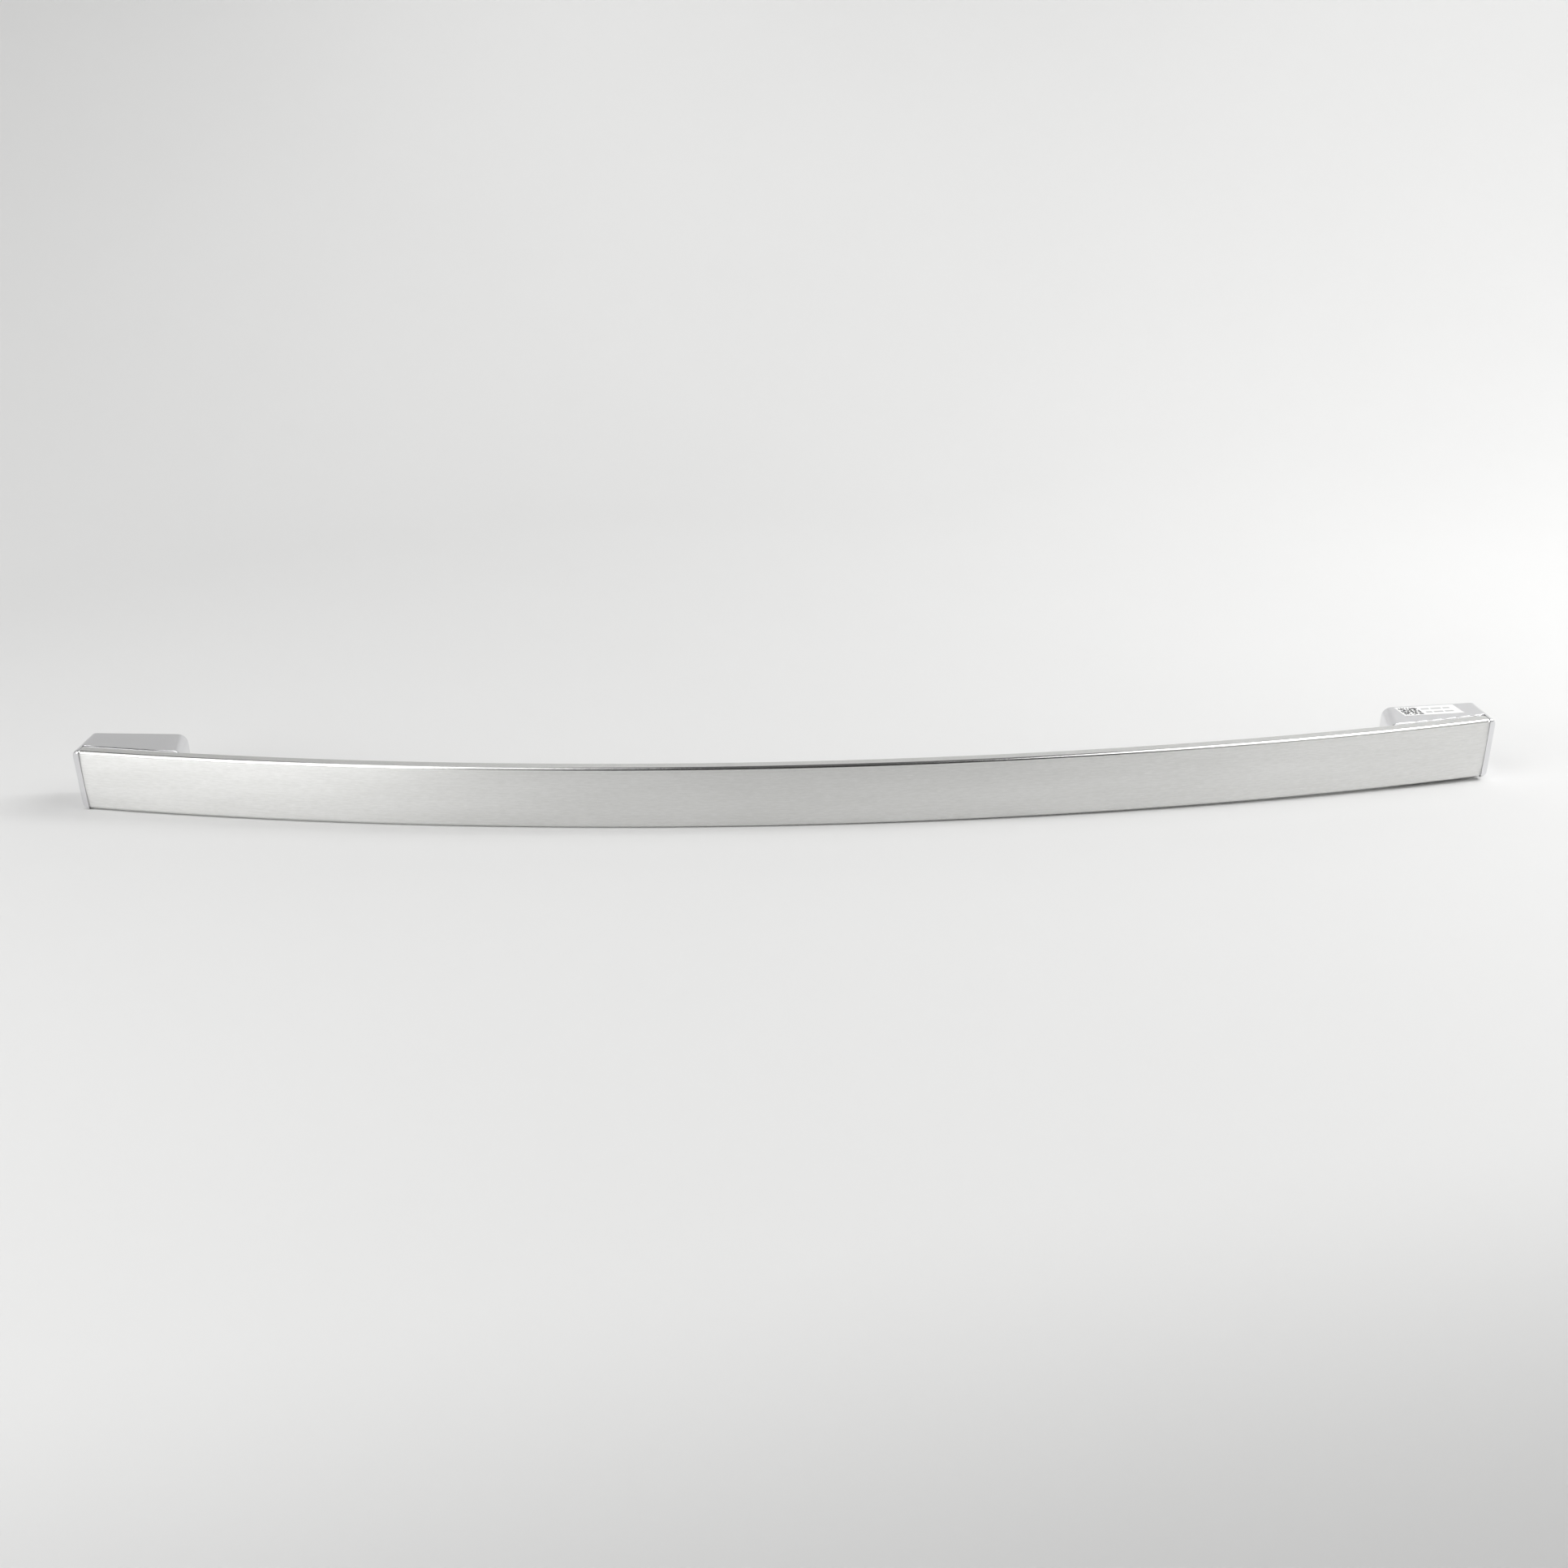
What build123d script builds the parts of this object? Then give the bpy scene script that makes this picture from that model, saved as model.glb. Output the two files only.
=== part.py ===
from build123d import *

import os
from math import asin, cos, degrees, radians, sin, sqrt, tan

# Bowed drawer handle: a flat brushed tube bent to a shallow bow, carried by a cast end post at each end.
# Frame: X along the handle, +Y towards the door, +Z up. The origin lies midway between the two stud sockets,
# in the plane of their mouths. Lengths are in millimetres and angles in degrees.

# Bar: a flat tube bent to a circular bow
handle_length = 800.0  # over the outer sides of the two end posts
bar_height = 35.2
bar_depth = 8.4
bar_wall = 1.0
bar_edge_radius = 1.7
bar_crown = 0.6  # the front's upper and lower edges lie this far behind its middle
bar_bow = 46.0  # the front's middle stands this far ahead of its ends

# End posts: a cap over the tube's end, a plug inside the tube and a hollow post behind it
cap_thickness = 3.8
cap_proud = 0.3  # the end post stands this far outside the bar at the top, bottom and front
cap_front_radius = 1.8
post_front_radius = 0.25  # on the post's edges along the bar
end_depth = 26.7  # from the bar's front to the door, along the post's outer side
post_length = 57.0  # along the door
post_wall = 2.8
back_angle = 5.3  # the back face leans to suit a bowed door
inner_angle = 13.0  # the inner side leans, so that the post is longest at the bar
outer_edge_radius = 3.6
inner_edge_radius = 5.0
plug_length = 52.0
plug_clearance = 0.15  # between the plug and the inside of the tube
joint_gap = 0.15  # the fine line between the bar and the end post

# Stud sockets: the door's shoulder studs enter these from behind
stud_inset = 30.0  # from the outer side to the stud's axis
socket_diameter = 12.3
socket_depth = 15.0
socket_wall = 3.8
socket_recess = 1.0  # the mouth lies this far inside the back face

# Set screws: they grip the studs from below
set_screw_diameter = 5.0
set_screw_length = 8.0
set_screw_setback = 8.0  # from the socket's mouth to the screw's axis
set_screw_boss_wall = 2.6
set_screw_tip_gap = 0.4  # from the screw's point to the socket
set_screw_chamfer = 0.8
hex_key_size = 2.5
hex_key_depth = 3.0

# Bar screws: from the hollow post through the tube's back into the plug
bar_screw_insets = (12.0, 48.0)  # from the outer side to each screw's axis
bar_screw_diameter = 3.9
bar_screw_length = 9.5
bar_screw_point = 1.0
screw_head_diameter = 7.5
screw_head_height = 2.6
screw_head_radius = 1.2
driver_slot_width = 1.1
driver_slot_length = 4.4
driver_slot_depth = 1.5
seat_diameter = 9.0
seat_rise = 0.2  # each seat stands this far above the highest floor around it
screw_clearance = 0.2  # around a screw in the post's floor and in the tube's back
thread_clearance = 0.05  # around a thread in its own hole
pilot_spare = 0.5  # a pilot hole runs this far past the screw's point

# Label: a thin sticker on the right post's top
label_length = 35.5
label_width = 13.5
label_thickness = 0.12
label_corner_radius = 0.6
label_end_margin = 15.3
label_back_margin = 1.2

# Cuts that open to the outside run this far past the surface
overrun = 2.0

# Places and radii that follow from the sizes above
end_x = handle_length / 2
cap_inside_x = end_x - cap_thickness
tube_end_x = cap_inside_x - joint_gap
stud_x = end_x - stud_inset
inner_back_x = end_x - post_length
end_height = bar_height + 2 * cap_proud
cavity_height = end_height - 2 * post_wall
socket_radius = socket_diameter / 2
set_screw_radius = set_screw_diameter / 2
bar_screw_radius = bar_screw_diameter / 2
bar_screw_stations = [end_x - inset for inset in bar_screw_insets]

# Radii about the bow's centre
front_bow = (end_x**2 + bar_bow**2) / (2 * bar_bow)
cap_front_bow = front_bow + cap_proud
middle_bow = front_bow - bar_depth / 2
back_bow = front_bow - bar_depth
post_front_bow = back_bow - joint_gap
floor_bow = post_front_bow - post_wall


def back_y(x):
    """The back face of the right post, at a place along the handle."""
    return socket_recess + (x - stud_x) * tan(radians(back_angle))


bar_front_y = back_y(end_x) - end_depth - bar_bow  # the bar's foremost line
bow_centre_y = bar_front_y + front_bow
bow_axis = Axis((0, bow_centre_y, 0), (0, 0, 1))


def bow_y(x, bow):
    """A circle about the bow's centre, at a place along the handle."""
    return bow_centre_y - sqrt(bow**2 - x**2)


def bow_angle(x):
    """How far round the bow a place along the handle lies."""
    return degrees(asin(x / middle_bow))


def section_plane(angle):
    """A plane square across the bow, with its origin at the bow's centre and its x axis pointing outwards."""
    turn = radians(angle)
    return Plane((0, bow_centre_y, 0), x_dir=(sin(turn), -cos(turn), 0), z_dir=(cos(turn), sin(turn), 0))


def depth_plane(y):
    """A plane facing the front at a given depth, with X and Z as its own axes."""
    return Plane.XZ.offset(-y)


def inner_side_x(y, wall):
    """The right post's leaning inner side, moved outwards by a wall, at a given depth."""
    lean = radians(inner_angle)
    return inner_back_x + wall / cos(lean) - (back_y(inner_back_x) - y) * tan(lean)


def seat_y(x):
    """The seat of a bar screw in the right post: just above the highest floor around it."""
    return bow_y(x + seat_diameter / 2, floor_bow) + seat_rise


def bar_section(inset):
    """The bar's outline drawn in by inset, about its own middle, with the crowned front towards its x axis."""
    front_x = bar_depth / 2
    top_z = bar_height / 2
    with BuildSketch() as outline:
        with BuildLine():
            front = ThreePointArc((front_x - bar_crown, -top_z), (front_x, 0), (front_x - bar_crown, top_z))
            Polyline(front @ 1, (-front_x, top_z), (-front_x, -top_z), front @ 0)
        make_face()
        fillet(outline.vertices(), bar_edge_radius)
        offset(amount=-inset)
    return outline.sketch


# The bar's outside and inside, and the plug that fits in it
tube_outside = bar_section(0)
tube_inside = bar_section(bar_wall)
plug_outline = bar_section(bar_wall + plug_clearance)

# Bar tube
with BuildPart() as bar_tube:
    with BuildSketch(section_plane(-bow_angle(end_x))):
        with Locations((middle_bow, 0)):
            add(tube_outside)
            add(tube_inside, mode=Mode.SUBTRACT)
    revolve(axis=bow_axis, revolution_arc=2 * bow_angle(end_x))
    split(bisect_by=Plane.YZ.offset(tube_end_x), keep=Keep.BOTTOM)
    split(bisect_by=Plane.YZ.offset(-tube_end_x), keep=Keep.TOP)
    for station in bar_screw_stations:
        with BuildSketch(depth_plane(bow_y(station, middle_bow))):
            with Locations((station, 0), (-station, 0)):
                Circle(bar_screw_radius + screw_clearance)
        extrude(amount=-bar_depth, mode=Mode.SUBTRACT)

# Hollow of the right post, open at the back, with its bosses standing in it
with BuildPart() as right_hollow:
    past_back_y = back_y(end_x) + overrun
    with BuildSketch(Plane.XY.offset(-cavity_height / 2)):
        with BuildLine():
            Polyline(
                (end_x - post_wall, bar_front_y),
                (end_x - post_wall, past_back_y),
                (inner_side_x(past_back_y, post_wall), past_back_y),
                (inner_side_x(bar_front_y, post_wall), bar_front_y),
                close=True,
            )
        make_face()
        with Locations((0, bow_centre_y)):
            Circle(floor_bow, mode=Mode.INTERSECT)
    extrude(amount=cavity_height)
    inner_wall = right_hollow.faces().sort_by(Axis.X)[0]
    fillet(inner_wall.edges().filter_by(Axis.Z, reverse=True), inner_edge_radius - post_wall)
    with BuildSketch(depth_plane(0)):
        with Locations((stud_x, 0)):
            Circle(socket_radius + socket_wall)
    extrude(amount=end_depth, mode=Mode.SUBTRACT)
    with BuildSketch(Plane.XY):
        with Locations((stud_x, -set_screw_setback)):
            Circle(set_screw_radius + set_screw_boss_wall)
    extrude(amount=-cavity_height, mode=Mode.SUBTRACT)
    for station in bar_screw_stations:
        with BuildSketch(depth_plane(seat_y(station))):
            with Locations((station, 0)):
                Circle(seat_diameter / 2)
        extrude(amount=end_depth, mode=Mode.SUBTRACT)

# Right end post
with BuildPart() as right_end_post:
    with BuildSketch(Plane.XY.offset(-end_height / 2)):
        with BuildLine():
            Polyline(
                (end_x, bar_front_y),
                (end_x, back_y(end_x)),
                (inner_back_x, back_y(inner_back_x)),
                (inner_side_x(bar_front_y, 0), bar_front_y),
                close=True,
            )
        make_face()
        with Locations((0, bow_centre_y)):
            Circle(cap_front_bow, mode=Mode.INTERSECT)
    extrude(amount=end_height)
    outer_side = right_end_post.faces().sort_by(Axis.X)[-1]
    fillet(outer_side.edges().filter_by(Axis.Z, reverse=True), outer_edge_radius)
    inner_side = right_end_post.faces().sort_by(Axis.X)[0]
    fillet(inner_side.edges().filter_by(Axis.Z, reverse=True), inner_edge_radius)
    cap_front = right_end_post.faces().sort_by(Axis.Y)[0]
    fillet(cap_front.edges(), cap_front_radius)

    # Room for the bar in front of the post
    with BuildSketch(Plane.XY.offset(-end_height / 2)):
        with Locations((cap_inside_x, bar_front_y)):
            Rectangle(cap_inside_x, bar_bow + end_depth, align=(Align.MAX, Align.MIN))
        with Locations((0, bow_centre_y)):
            Circle(post_front_bow, mode=Mode.SUBTRACT)
    extrude(amount=end_height, mode=Mode.SUBTRACT)
    seat_arcs = right_end_post.edges(Select.LAST).filter_by(GeomType.CIRCLE).group_by(Axis.Z)
    fillet(seat_arcs[0] + seat_arcs[-1], post_front_radius)
    add(right_hollow.part, mode=Mode.SUBTRACT)

    # Clearance holes for the bar screws, then the plug with their pilot holes
    for station in bar_screw_stations:
        with BuildSketch(depth_plane(seat_y(station))):
            with Locations((station, 0)):
                Circle(bar_screw_radius + screw_clearance)
        extrude(amount=end_depth, mode=Mode.SUBTRACT)
    plug_start = bow_angle(cap_inside_x - plug_length)
    plug_end = bow_angle(end_x - cap_thickness / 2)
    with BuildSketch(section_plane(plug_start)):
        with Locations((middle_bow, 0)):
            add(plug_outline)
    revolve(axis=bow_axis, revolution_arc=plug_end - plug_start)
    for station in bar_screw_stations:
        with BuildSketch(depth_plane(seat_y(station))):
            with Locations((station, 0)):
                Circle(bar_screw_radius + thread_clearance)
        extrude(amount=bar_screw_length + pilot_spare, mode=Mode.SUBTRACT)

    # Stud socket, and the set screw's hole into it from below
    with BuildSketch(depth_plane(0)):
        with Locations((stud_x, 0)):
            Circle(socket_radius)
    extrude(amount=socket_depth, mode=Mode.SUBTRACT)
    with BuildSketch(Plane.XY):
        with Locations((stud_x, -set_screw_setback)):
            Circle(set_screw_radius + thread_clearance)
    extrude(amount=-end_height, mode=Mode.SUBTRACT)

# Left end post
with BuildPart() as left_end_post:
    mirror(right_end_post.part, about=Plane.YZ)

# One bar screw, with the underside of its head at the origin and its point towards the front
with BuildPart() as bar_screw:
    with BuildSketch(Plane.XZ):
        Circle(screw_head_diameter / 2)
    extrude(amount=-screw_head_height)
    fillet(bar_screw.edges().sort_by(Axis.Y)[-1], screw_head_radius)
    with BuildSketch(depth_plane(screw_head_height)):
        Rectangle(driver_slot_length, driver_slot_width)
        Rectangle(driver_slot_width, driver_slot_length)
    extrude(amount=driver_slot_depth, mode=Mode.SUBTRACT)
    with BuildSketch(Plane.XZ):
        Circle(bar_screw_radius)
    extrude(amount=bar_screw_length)
    chamfer(bar_screw.edges().sort_by(Axis.Y)[0], bar_screw_point)

# Bar screws, two in each post
with BuildPart() as bar_screws:
    for station in bar_screw_stations:
        with Locations((station, seat_y(station), 0), (-station, seat_y(station), 0)):
            add(bar_screw.part)

# One set screw, with its point at the origin and its key socket below
with BuildPart() as set_screw:
    with BuildSketch(Plane.XY):
        Circle(set_screw_radius)
    extrude(amount=-set_screw_length)
    chamfer(set_screw.edges().filter_by(GeomType.CIRCLE), set_screw_chamfer)
    with BuildSketch(Plane.XY.offset(-set_screw_length)):
        RegularPolygon(hex_key_size / 2, side_count=6, major_radius=False)
    extrude(amount=hex_key_depth, mode=Mode.SUBTRACT)

# Set screws, one in each post
with BuildPart() as set_screws:
    set_screw_top = -socket_radius - set_screw_tip_gap
    with Locations(
        (stud_x, -set_screw_setback, set_screw_top),
        (-stud_x, -set_screw_setback, set_screw_top),
    ):
        add(set_screw.part)

# Label, lined up with the back edge of the right post's top
back_turn = radians(back_angle)
label_plane = Plane(
    (end_x, back_y(end_x), end_height / 2),
    x_dir=(-cos(back_turn), -sin(back_turn), 0),
    z_dir=(0, 0, 1),
)
with BuildPart() as part_label:
    with BuildSketch(label_plane):
        with Locations((label_end_margin, label_back_margin)):
            RectangleRounded(label_length, label_width, label_corner_radius, align=(Align.MIN, Align.MIN))
    extrude(amount=label_thickness)

# Write each piece
os.makedirs("parts", exist_ok=True)
bar_tube.part.label = "bar_tube"
export_step(bar_tube.part, "parts/bar_tube.step")
left_end_post.part.label = "left_end_post"
export_step(left_end_post.part, "parts/left_end_post.step")
right_end_post.part.label = "right_end_post"
export_step(right_end_post.part, "parts/right_end_post.step")
bar_screws.part.label = "bar_screws"
export_step(bar_screws.part, "parts/bar_screws.step")
set_screws.part.label = "set_screws"
export_step(set_screws.part, "parts/set_screws.step")
part_label.part.label = "part_label"
export_step(part_label.part, "parts/part_label.step")
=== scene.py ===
import random
from math import cos, pi, radians, sin, sqrt

import bmesh
import bpy
from mathutils import Matrix, Vector


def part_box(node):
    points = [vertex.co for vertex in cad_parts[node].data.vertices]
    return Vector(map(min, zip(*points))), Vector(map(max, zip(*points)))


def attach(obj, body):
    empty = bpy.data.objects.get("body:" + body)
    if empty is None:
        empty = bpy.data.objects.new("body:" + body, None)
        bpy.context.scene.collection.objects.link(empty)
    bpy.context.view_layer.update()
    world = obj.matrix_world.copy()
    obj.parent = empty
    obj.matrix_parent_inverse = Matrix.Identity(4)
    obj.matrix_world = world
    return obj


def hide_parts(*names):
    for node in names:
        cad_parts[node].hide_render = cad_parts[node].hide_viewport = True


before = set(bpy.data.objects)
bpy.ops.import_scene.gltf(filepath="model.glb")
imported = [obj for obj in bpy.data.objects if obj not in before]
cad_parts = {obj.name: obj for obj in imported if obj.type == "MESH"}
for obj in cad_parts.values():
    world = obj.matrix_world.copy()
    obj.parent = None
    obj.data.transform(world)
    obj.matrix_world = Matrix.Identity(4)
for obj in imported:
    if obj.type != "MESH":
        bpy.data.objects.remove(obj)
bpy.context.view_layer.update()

# A bowed drawer handle on a pale studio floor. Lengths are in metres, in the part's own frame:
# X along the handle, +Y towards the door, +Z up.

bar_low, bar_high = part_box("bar_tube")
label_low, label_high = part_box("part_label")

# Bar: sizes that its box doesn't give
bar_depth = 0.0084
bar_wall = 0.001
bar_edge_radius = 0.0017
face_crown = 0.0006  # the front's upper and lower edges lie this far behind its middle
bar_end_rounding = 0.00004
bar_end_reach = 0.00013  # the skin stops this much closer to the caps than the tube, for a fine joint line
bar_height = bar_high.z - bar_low.z
bar_end_x = bar_high.x
skin_end_x = bar_end_x + bar_end_reach

# The bow's radius and centre follow from how far the ends lie behind the middle
bar_reach = bar_high.y - bar_low.y
front_bow = (bar_reach**2 + bar_end_x**2 - bar_depth**2) / (2 * (bar_reach - bar_depth))
middle_bow = front_bow - bar_depth / 2
bow_centre_y = bar_low.y + front_bow

# Brushing on the bar, from its finest marks to its widest: waves per metre across the bar and along it
hairline_waves = (4200, 90, 1)
dash_waves = (1500, 130, 1)
fleck_waves = (1250, 210, 1)
streak_waves = (1100, 28, 1)
cloud_waves = (90, 14, 1)
brushing_depth = 0.00002
dash_colour = (0.9, 0.9, 0.89)

# The handle stands a little askew on the floor: it leans forward, and its right end stands clear
floor_lean = radians(1.3)
floor_roll = radians(0.12)
middle_clearance = 0.00022  # between the floor and the middle of the bar

# Label: a sticker turned to follow the leaning back of the right post
label_length = 0.0355
label_width = 0.0135
label_turn = radians(5.3)
label_sheet = 0.0001
ink_height = 0.000015

# Camera, from the outlines of the handle in the photograph
camera_place = Vector((-0.01764, -0.82674, 0.33422))
camera_pitch = radians(23.312)
camera_yaw = radians(-1.013)
camera_roll = radians(0.906)
sensor_width = 36.0
lens_length = 35.351


def new_object(name, mesh_builder, materials):
    """A mesh object from a bmesh, linked to the scene, with its materials in order."""
    mesh = bpy.data.meshes.new(name)
    mesh_builder.to_mesh(mesh)
    mesh_builder.free()
    piece = bpy.data.objects.new(name, mesh)
    bpy.context.scene.collection.objects.link(piece)
    for material in materials:
        mesh.materials.append(material)
    return piece


class Shader:
    """A node material with its surface shader, and short ways to add nodes to it."""

    def __init__(self, name):
        self.material = bpy.data.materials.new(name)
        self.material.use_nodes = True
        self.tree = self.material.node_tree
        self.surface = self.tree.nodes["Principled BSDF"]

    def add(self, kind, **settings):
        """A new node with its settings."""
        node = self.tree.nodes.new(kind)
        for key, value in settings.items():
            setattr(node, key, value)
        return node

    def link(self, source, target):
        """Joins an output to an input."""
        self.tree.links.new(source, target)

    def set(self, **values):
        """Values that are the same all over the surface."""
        for key, value in values.items():
            self.surface.inputs[key.replace("_", " ")].default_value = value

    def coordinates(self, output, scale=(1, 1, 1), location=(0, 0, 0)):
        """Texture coordinates of one kind, scaled and moved."""
        source = self.add("ShaderNodeTexCoord")
        mapping = self.add("ShaderNodeMapping")
        mapping.inputs["Scale"].default_value = scale
        mapping.inputs["Location"].default_value = location
        self.link(source.outputs[output], mapping.inputs["Vector"])
        return mapping.outputs["Vector"]

    def noise(self, vector, scale=1.0, detail=3.0, roughness=0.55):
        """Soft noise between 0 and 1."""
        node = self.add("ShaderNodeTexNoise")
        node.inputs["Scale"].default_value = scale
        node.inputs["Detail"].default_value = detail
        node.inputs["Roughness"].default_value = roughness
        self.link(vector, node.inputs["Vector"])
        return node.outputs["Fac"]

    def ramp(self, factor, low, high, low_value=0.0, high_value=1.0):
        """A smooth change from one value to another as factor goes from low to high."""
        node = self.add("ShaderNodeMapRange", interpolation_type="SMOOTHSTEP")
        node.inputs["From Min"].default_value = low
        node.inputs["From Max"].default_value = high
        node.inputs["To Min"].default_value = low_value
        node.inputs["To Max"].default_value = high_value
        self.link(factor, node.inputs["Value"])
        return node.outputs["Result"]

    def math(self, operation, first, second):
        """Arithmetic on two numbers or outputs."""
        node = self.add("ShaderNodeMath", operation=operation)
        for socket, value in zip(node.inputs, (first, second)):
            if isinstance(value, (int, float)):
                socket.default_value = value
            else:
                self.link(value, socket)
        return node.outputs["Value"]

    def blend(self, first, second, share):
        """Two values added up, the second with its share of the whole."""
        first_part = self.math("MULTIPLY", first, 1 - share)
        second_part = self.math("MULTIPLY", second, share)
        return self.math("ADD", first_part, second_part)

    def tint(self, factor, low_colour, high_colour):
        """A colour between two others."""
        node = self.add("ShaderNodeMix", data_type="RGBA")
        node.inputs[6].default_value = (*low_colour, 1)
        node.inputs[7].default_value = (*high_colour, 1)
        self.link(factor, node.inputs[0])
        return node.outputs[2]

    def cover(self, factor, source, colour):
        """One colour laid over another, as far as factor says."""
        node = self.add("ShaderNodeMix", data_type="RGBA")
        node.inputs[7].default_value = (*colour, 1)
        self.link(factor, node.inputs[0])
        self.link(source, node.inputs[6])
        return node.outputs[2]

    def finish(self, pattern, dark, light, smooth, rough):
        """Colour and roughness that follow one pattern."""
        self.link(self.tint(pattern, dark, light), self.surface.inputs["Base Color"])
        self.link(self.ramp(pattern, 0.3, 0.7, smooth, rough), self.surface.inputs["Roughness"])

    def bump(self, height, distance, strength):
        """Fine relief, for what is too small to model."""
        node = self.add("ShaderNodeBump")
        node.inputs["Distance"].default_value = distance
        node.inputs["Strength"].default_value = strength
        self.link(height, node.inputs["Height"])
        self.link(node.outputs["Normal"], self.surface.inputs["Normal"])


def brushed_stainless(name, smooth, rough, anisotropy, dark, light):
    """Stainless steel brushed along the bar: U runs across the brushing and V along it, in metres."""
    steel = Shader(name)
    hairlines = steel.noise(steel.coordinates("UV", hairline_waves), detail=4, roughness=0.65)
    streaks = steel.noise(steel.coordinates("UV", streak_waves, location=(3.1, 7.7, 0)), detail=3)
    flecks = steel.noise(steel.coordinates("UV", fleck_waves, location=(1.7, 4.4, 0)), detail=2)
    clouds = steel.noise(steel.coordinates("UV", cloud_waves, location=(9.4, 2.6, 0)), detail=2)
    dashes = steel.noise(steel.coordinates("UV", dash_waves, location=(5.2, 1.3, 0)), detail=2)
    lines = steel.blend(hairlines, streaks, 0.4)
    grain = steel.blend(lines, flecks, 0.45)
    tone = steel.blend(grain, clouds, 0.2)
    base = steel.tint(steel.ramp(tone, 0.34, 0.66), dark, light)
    dashed = steel.cover(steel.ramp(dashes, 0.66, 0.78), base, dash_colour)
    steel.link(dashed, steel.surface.inputs["Base Color"])
    steel.link(steel.ramp(lines, 0.3, 0.7, smooth, rough), steel.surface.inputs["Roughness"])
    steel.bump(grain, brushing_depth, strength=0.5)
    tangent = steel.add("ShaderNodeTangent", direction_type="UV_MAP")
    steel.link(tangent.outputs["Tangent"], steel.surface.inputs["Tangent"])
    steel.set(Metallic=1.0, Anisotropic=anisotropy)
    return steel.material


def satin_chrome():
    """Smooth plated casting, faintly uneven in its polish."""
    chrome = Shader("satin_chrome")
    place = chrome.coordinates("Object")
    haze = chrome.noise(place, scale=60, detail=3)
    orange_peel = chrome.noise(place, scale=900, detail=2)
    chrome.finish(haze, dark=(0.75, 0.75, 0.765), light=(0.80, 0.80, 0.815), smooth=0.14, rough=0.2)
    chrome.bump(orange_peel, distance=0.000004, strength=0.3)
    chrome.set(Metallic=1.0)
    return chrome.material


def plated_screw():
    """Bright zinc plating with a faint warm cast."""
    zinc = Shader("zinc_plated_steel")
    blotch = zinc.noise(zinc.coordinates("Object"), scale=700, detail=3)
    zinc.finish(blotch, dark=(0.56, 0.56, 0.55), light=(0.70, 0.70, 0.68), smooth=0.28, rough=0.42)
    zinc.bump(blotch, distance=0.00001, strength=0.3)
    zinc.set(Metallic=1.0)
    return zinc.material


def black_screw():
    """Black oxide on steel, thin enough to shine a little."""
    black = Shader("black_steel")
    blotch = black.noise(black.coordinates("Object"), scale=900, detail=3)
    black.finish(blotch, dark=(0.028, 0.028, 0.032), light=(0.06, 0.06, 0.066), smooth=0.32, rough=0.5)
    black.bump(blotch, distance=0.00001, strength=0.3)
    black.set(Metallic=0.6)
    return black.material


def label_paper():
    """Coated white paper with a faint fibre."""
    paper = Shader("label_paper")
    fibre = paper.noise(paper.coordinates("Object"), scale=2500, detail=4)
    paper.finish(fibre, dark=(0.90, 0.90, 0.895), light=(0.95, 0.95, 0.945), smooth=0.45, rough=0.6)
    paper.bump(fibre, distance=0.00001, strength=0.3)
    return paper.material


def print_ink(name, dark, light):
    """Thermal print, a little uneven."""
    ink = Shader(name)
    patchy = ink.noise(ink.coordinates("Object"), scale=3000, detail=3)
    ink.finish(patchy, dark, light, smooth=0.5, rough=0.65)
    return ink.material


def rounded_outline(inset):
    """Points around the bar's section drawn in by inset, as (outwards, up), from the lower end of its back.
    The front is very slightly crowned."""
    arc_steps = 12
    flat_steps = 12
    radius = bar_edge_radius - inset
    half_depth = bar_depth / 2 - bar_edge_radius
    half_height = bar_height / 2 - bar_edge_radius
    corners = [(-half_depth, -half_height), (half_depth, -half_height),
               (half_depth, half_height), (-half_depth, half_height)]
    points = []
    for number, (out, up) in enumerate(corners):
        for step in range(arc_steps + 1):
            angle = pi + (number + step / arc_steps) * pi / 2
            points.append((out + radius * cos(angle), up + radius * sin(angle)))
        start = points[-1]
        next_out, next_up = corners[(number + 1) % len(corners)]
        angle = pi + (number + 1) * pi / 2
        end = (next_out + radius * cos(angle), next_up + radius * sin(angle))
        for step in range(1, flat_steps):
            share = step / flat_steps
            points.append((start[0] + (end[0] - start[0]) * share, start[1] + (end[1] - start[1]) * share))
    crowned = []
    for out, up in points:
        setback = face_crown * (2 * up / bar_height)**2
        share_from_back = out / bar_depth + 0.5
        crowned.append((out - setback * share_from_back, up))
    return crowned


def bow_point(x, out, up):
    """A point of the bar: x along the handle, out from the middle of its section, and up."""
    bow = middle_bow + out
    return Vector((x, bow_centre_y - sqrt(bow**2 - x**2), up))


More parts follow.
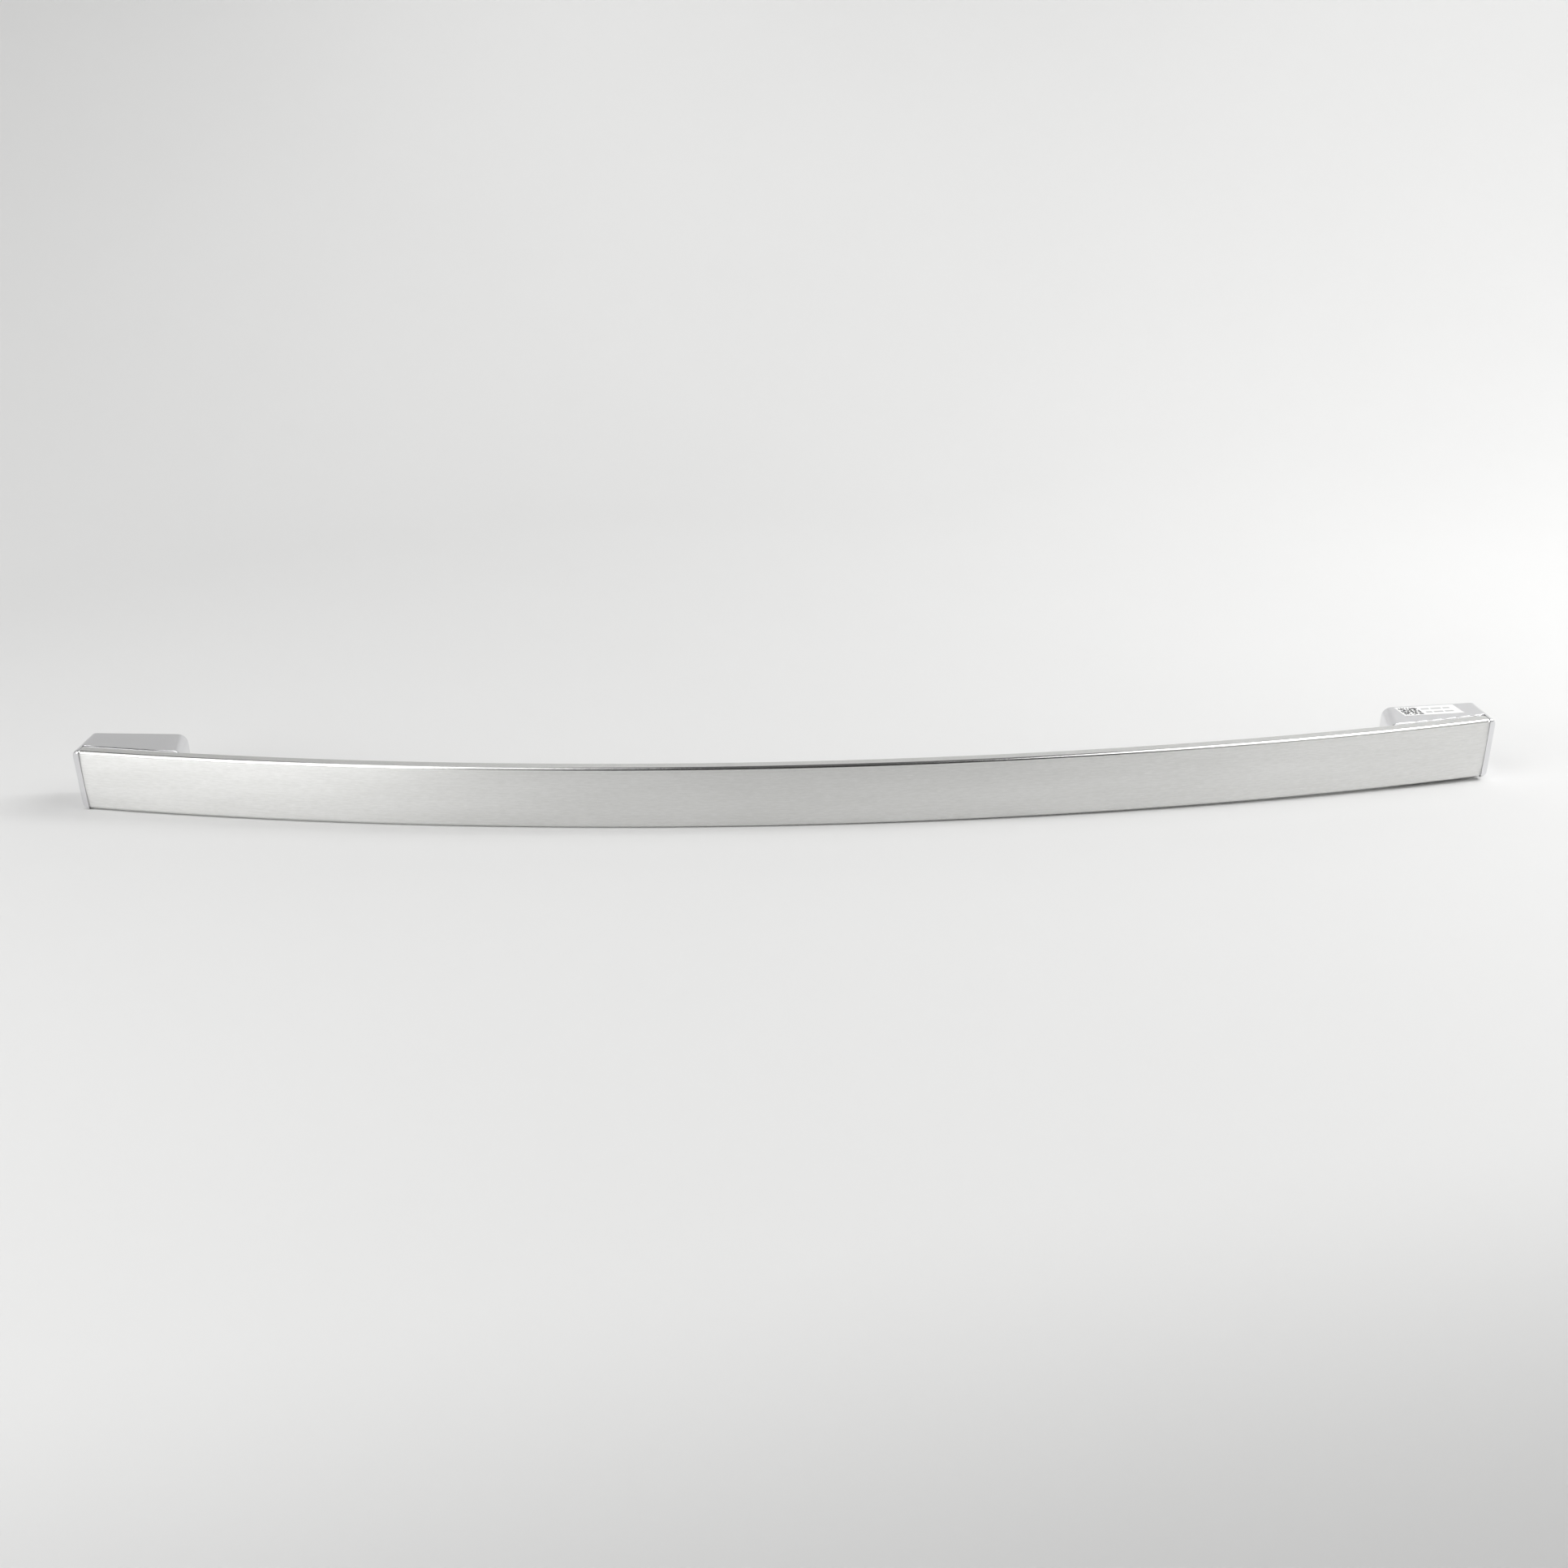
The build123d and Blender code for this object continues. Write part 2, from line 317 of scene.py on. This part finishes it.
def make_bar(face_steel, edge_steel):
    """The bent tube as one closed skin: outside, rounded ends and inside. Its front has its own finish."""
    length_steps = 240
    rounding_steps = 4
    inside_steps = 40
    tolerance = 1e-7
    stations = []
    for step in range(rounding_steps + 1):
        turn = step / rounding_steps * pi / 2
        x = -skin_end_x + bar_end_rounding * (1 - sin(turn))
        stations.append((x, bar_end_rounding * (1 - cos(turn))))
    stations.reverse()
    run = skin_end_x - bar_end_rounding
    stations += [(-run + 2 * run * step / length_steps, 0.0) for step in range(1, length_steps)]
    stations += [(-x, inset) for x, inset in reversed(stations[:rounding_steps + 1])]
    inside = [(skin_end_x - 2 * skin_end_x * step / inside_steps, bar_wall)
              for step in range(inside_steps + 1)]

    builder = bmesh.new()
    uv_layer = builder.loops.layers.uv.new("brushing")
    rings = []
    for x, inset in stations + inside:
        rings.append([builder.verts.new(bow_point(x, out, up)) for out, up in rounded_outline(inset)])
    outline = rounded_outline(0.0)
    around = [0.0]
    for here, there in zip(outline, outline[1:] + outline[:1]):
        around.append(around[-1] + sqrt((there[0] - here[0])**2 + (there[1] - here[1])**2))
    face_edge = bar_height / 2 - bar_edge_radius + tolerance
    along = [x for x, inset in stations + inside]
    count = len(outline)
    for ring in range(len(rings)):
        after = (ring + 1) % len(rings)
        for point in range(count):
            beside = (point + 1) % count
            corners = [(ring, point, point), (after, point, point),
                       (after, beside, point + 1), (ring, beside, point + 1)]
            face = builder.faces.new([rings[row][column] for row, column, _ in corners])
            face.smooth = True
            on_front = [out > 0 and abs(up) < face_edge for out, up in (outline[point], outline[beside])]
            face.material_index = 0 if all(on_front) and ring < len(stations) - 1 else 1
            for loop, (row, _, place) in zip(face.loops, corners):
                loop[uv_layer].uv = (around[place], along[row])
    mouth_rings = (rings[len(stations)], rings[-1])
    for ring in mouth_rings:
        for here, there in zip(ring, ring[1:] + ring[:1]):
            builder.edges.get((here, there)).smooth = False
    bmesh.ops.recalc_face_normals(builder, faces=builder.faces)
    return new_object("bar", builder, [face_steel, edge_steel])


def add_block(builder, low, high, material_index):
    """A box between two corners, in the label's own axes."""
    made = bmesh.ops.create_cube(builder, size=1.0)
    for vertex in made["verts"]:
        vertex.co = Vector(a + (b - a) * (c + 0.5) for a, b, c in zip(low, high, vertex.co))
    for face in {face for vertex in made["verts"] for face in vertex.link_faces}:
        face.material_index = material_index


def make_label(paper, dark_ink, grey_ink):
    """A blank sticker with a field of blocks and two broken bars in place of print."""
    cell = 0.00085
    cells = 13
    field_start = (0.0011, 0.0012)
    bar_rows = ((0.0081, 0.0099), (0.0031, 0.0049))
    bar_starts = (0.0139, 0.0146)
    bar_runs = ((0.0048, 0.0062, 0.0041), (0.0036, 0.0056, 0.0052))
    bar_space = 0.0011
    block_share = 0.5
    seed = 11
    chance = random.Random(seed)
    builder = bmesh.new()
    add_block(builder, (0, 0, 0), (label_length, label_width, label_sheet), 0)
    top = label_sheet + ink_height
    for row in range(cells):
        for column in range(cells):
            if chance.random() < block_share:
                u = field_start[0] + column * cell
                v = field_start[1] + row * cell
                add_block(builder, (u, v, label_sheet), (u + cell, v + cell, top), 1)
    for (low, high), start, runs in zip(bar_rows, bar_starts, bar_runs):
        for run in runs:
            add_block(builder, (start, low, label_sheet), (start + run, high, top), 2)
            start += run + bar_space
    label = new_object("label", builder, [paper, dark_ink, grey_ink])
    middle = (label_low + label_high) / 2
    middle.z = label_low.z
    turn = Matrix.Rotation(label_turn, 4, "Z")
    to_middle = Matrix.Translation((-label_length / 2, -label_width / 2, 0))
    label.data.transform(Matrix.Translation(middle) @ turn @ to_middle)
    return label


def make_studio(material):
    """A round pale floor that sweeps up into a wall all round."""
    hub_radius = 0.02
    floor_radius = 0.75
    sweep_radius = 1.25
    wall_top = 1.9
    sweep_steps = 24
    round_steps = 96
    profile = [(hub_radius, 0.0), (floor_radius / 2, 0.0), (floor_radius, 0.0)]
    for step in range(1, sweep_steps + 1):
        turn = step / sweep_steps * pi / 2
        profile.append((floor_radius + sweep_radius * sin(turn), sweep_radius * (1 - cos(turn))))
    profile.append((floor_radius + sweep_radius, wall_top))
    builder = bmesh.new()
    rings = []
    for radius, height in profile:
        angles = [2 * pi * step / round_steps for step in range(round_steps)]
        rings.append([builder.verts.new((radius * cos(a), radius * sin(a), height)) for a in angles])
    for lower, upper in zip(rings, rings[1:]):
        for step in range(round_steps):
            beside = (step + 1) % round_steps
            builder.faces.new((lower[step], lower[beside], upper[beside], upper[step])).smooth = True
    builder.faces.new(rings[0])
    under_bar = Vector((0, bar_low.y, bar_low.z - middle_clearance))
    askew = Matrix.Rotation(floor_roll, 4, "Y") @ Matrix.Rotation(-floor_lean, 4, "X")
    studio = new_object("studio_floor", builder, [material])
    studio.data.transform(Matrix.Translation(under_bar) @ askew @ Matrix.Translation((0, -bar_low.y, 0)))
    return studio


def make_flag(material):
    """A dark card behind the camera, seen only in reflections."""
    left, right = -0.52, 1.0
    front = -1.42
    bottom, top = 0.05, 1.9
    builder = bmesh.new()
    corners = [(left, front, bottom), (right, front, bottom), (right, front, top), (left, front, top)]
    builder.faces.new([builder.verts.new(corner) for corner in corners])
    flag = new_object("dark_flag", builder, [material])
    flag.visible_camera = False
    flag.visible_diffuse = False
    flag.visible_shadow = False
    return flag


def studio_paint():
    """Pale matte paint with a faint mottle, and painted shade that greys it towards the front."""
    front_way = (0.2, -0.98, 0)
    front_shade_start, front_shade_end = 0.40, 0.62
    paint = Shader("studio_paint")
    place = paint.coordinates("Object")
    mottle = paint.noise(place, scale=3, detail=3)
    pale = paint.tint(mottle, (0.79, 0.79, 0.785), (0.81, 0.81, 0.805))
    forward = paint.add("ShaderNodeVectorMath", operation="DOT_PRODUCT")
    forward.inputs[1].default_value = front_way
    paint.link(place, forward.inputs[0])
    # Painted shade: the floor's colour is darkened towards the front in place of the shadow that falls
    # there
    painted_front_shade = paint.ramp(forward.outputs["Value"], front_shade_start, front_shade_end)
    paint.link(paint.cover(painted_front_shade, pale, (0.53, 0.53, 0.527)), paint.surface.inputs["Base Color"])
    paint.set(Roughness=0.9)
    return paint.material


def flag_cloth():
    """Black cloth with a faint weave."""
    cloth = Shader("flag_cloth")
    weave = cloth.noise(cloth.coordinates("Object"), scale=40, detail=2)
    black = cloth.tint(weave, (0.02, 0.02, 0.02), (0.03, 0.03, 0.03))
    cloth.link(black, cloth.surface.inputs["Base Color"])
    cloth.set(Roughness=1.0)
    return cloth.material


def add_softbox(name, azimuth, elevation, distance, width, height, watts, aim=(0, 0, 0), spread=180):
    """A soft area lamp, aimed at the handle by default. Its azimuth runs from the front towards +X."""
    turn = radians(azimuth)
    lift = radians(elevation)
    away = Vector((sin(turn) * cos(lift), -cos(turn) * cos(lift), sin(lift)))
    light = bpy.data.lights.new(name, "AREA")
    light.shape = "RECTANGLE"
    light.size = width
    light.size_y = height
    light.energy = watts
    light.spread = radians(spread)
    lamp = bpy.data.objects.new(name, light)
    lamp.location = away * distance
    lamp.rotation_euler = (lamp.location - Vector(aim)).to_track_quat("Z", "Y").to_euler()
    lamp.visible_camera = False
    bpy.context.scene.collection.objects.link(lamp)


def add_camera():
    """The photograph's viewpoint."""
    right = Vector((cos(camera_yaw), sin(camera_yaw), 0))
    ahead = Vector((
        -sin(camera_yaw) * cos(camera_pitch),
        cos(camera_yaw) * cos(camera_pitch),
        -sin(camera_pitch),
    ))
    up = right.cross(ahead)
    across = right * cos(camera_roll) - up * sin(camera_roll)
    over = right * sin(camera_roll) + up * cos(camera_roll)
    data = bpy.data.cameras.new("camera")
    data.sensor_width = sensor_width
    data.lens = lens_length
    camera = bpy.data.objects.new("camera", data)
    turn = Matrix((across, over, -ahead)).transposed().to_4x4()
    camera.matrix_world = Matrix.Translation(camera_place) @ turn
    bpy.context.scene.collection.objects.link(camera)
    bpy.context.scene.camera = camera


def set_world(colour):
    """Even light from all round."""
    world = bpy.data.worlds.new("studio_air")
    world.use_nodes = True
    world.node_tree.nodes["Background"].inputs["Color"].default_value = (*colour, 1)
    world.node_tree.nodes["Background"].inputs["Strength"].default_value = 1.0
    bpy.context.scene.world = world


def dress_node(name, material):
    """Gives a solid of the frame its finish."""
    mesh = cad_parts[name].data
    mesh.materials.clear()
    mesh.materials.append(material)


# Pieces
face_steel = brushed_stainless("brushed_stainless", smooth=0.33, rough=0.39, anisotropy=0.8,
                               dark=(0.73, 0.73, 0.715), light=(0.82, 0.82, 0.81))
edge_steel = brushed_stainless("drawn_stainless", smooth=0.16, rough=0.22, anisotropy=0.3,
                               dark=(0.72, 0.72, 0.705), light=(0.78, 0.78, 0.77))
bar = make_bar(face_steel, edge_steel)
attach(bar, "root")
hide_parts("bar_tube")

dark_ink = print_ink("dark_ink", dark=(0.05, 0.05, 0.052), light=(0.1, 0.1, 0.102))
grey_ink = print_ink("grey_ink", dark=(0.48, 0.48, 0.48), light=(0.62, 0.62, 0.62))
label = make_label(label_paper(), dark_ink, grey_ink)
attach(label, "root")
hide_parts("part_label")

chrome = satin_chrome()
dress_node("left_end_post", chrome)
dress_node("right_end_post", chrome)
dress_node("bar_screws", plated_screw())
dress_node("set_screws", black_screw())

# Studio
make_studio(studio_paint())
make_flag(flag_cloth())
add_softbox("right_softbox", azimuth=82, elevation=48, distance=1.6, width=1.8, height=1.1, watts=13.3)
add_softbox("right_strip", azimuth=96, elevation=38, distance=1.6, width=0.25, height=0.9, watts=6.2)
add_softbox("left_softbox", azimuth=-60, elevation=55, distance=1.6, width=1.0, height=0.9, watts=6.0)
add_softbox("left_low_softbox", azimuth=-52, elevation=20, distance=1.35, width=0.85, height=0.5, watts=4.7)
add_softbox("right_backdrop_light", azimuth=135, elevation=50, distance=1.9,
            width=1.2, height=0.6, watts=4.4, aim=(0.8, 1.7, 0.45), spread=150)
add_softbox("middle_backdrop_light", azimuth=180, elevation=50, distance=1.9,
            width=1.2, height=0.6, watts=0.6, aim=(0.0, 1.8, 0.3), spread=150)
add_softbox("left_backdrop_light", azimuth=-160, elevation=45, distance=1.6,
            width=1.6, height=0.5, watts=1.4, aim=(-0.5, 1.1, 0.0), spread=130)
set_world((0.12, 0.12, 0.12))
add_camera()
bpy.context.scene.view_settings.view_transform = "Standard"
